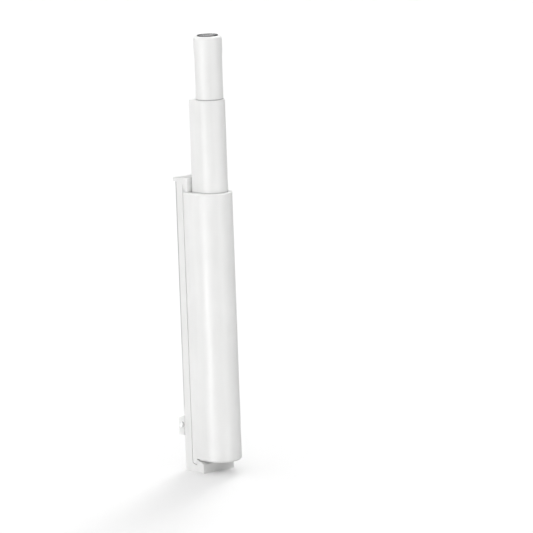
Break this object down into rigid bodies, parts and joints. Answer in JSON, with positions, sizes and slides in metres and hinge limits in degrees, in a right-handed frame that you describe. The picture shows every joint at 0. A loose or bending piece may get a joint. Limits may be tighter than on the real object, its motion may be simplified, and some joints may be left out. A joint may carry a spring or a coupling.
{
  "type": "push to open catch",
  "caption": "Long telescopic push to open catch for a cabinet door, with a magnet tip, in an arched housing on a screw-on carrier, shown extended.",
  "frame": {"origin": "midpoint of the two screw holes, on the mounting face", "axes": "+Z along the plunger, towards its magnet tip; +Y out of the mounting face, into the panel that it is screwed to; +X towards one screw ear"},
  "size_m": [0.0196, 0.0198, 0.1561],
  "materials": {
    "white_plastic": "satin",
    "inner_plastic": "satin",
    "grey_plastic": "matte",
    "soft_rubber": "matte",
    "spring_steel": "bright",
    "dark_steel": "dark",
    "nickel": "satin nickel"
  },
  "bodies": {
    "base": {"carrier": "white_plastic", "housing": "white_plastic", "rear_cap": "white_plastic", "latch_base": "grey_plastic", "keeper_leaf": "spring_steel", "spring_seat": "spring_steel", "main_spring": "spring_steel", "stop_ring": "soft_rubber", "front_bush": "inner_plastic"},
    "stage": {"stage_tube": "white_plastic", "stage_flange": "inner_plastic"},
    "plunger": {"plunger_tube": "white_plastic", "plunger_collar": "inner_plastic", "rod_pin": "spring_steel", "cam_rod": "grey_plastic", "magnet_cup": "dark_steel", "magnet": "nickel"},
    "follower": {"follower_wire": "spring_steel"}
  },
  "joints": [
    {"name": "stage_slide", "type": "slide", "parent": "base", "child": "stage", "axis": [0, 0, 1], "range_m": [-0.0284, 0], "stiffness_N_per_m": 60, "springref_m": 0.02, "deforming": ["main_spring"]},
    {"name": "plunger_slide", "type": "slide", "parent": "stage", "child": "plunger", "axis": [0, 0, 1], "range_m": [-0.0146, 0], "stiffness_N_per_m": 90, "springref_m": 0.012, "deforming": ["main_spring"]},
    {"name": "follower_swing", "type": "hinge", "parent": "base", "child": "follower", "pos_m": [-0.0012, -0.0147, -0.0003], "axis": [0, 1, 0], "range_deg": [0, 2.94]}
  ]
}
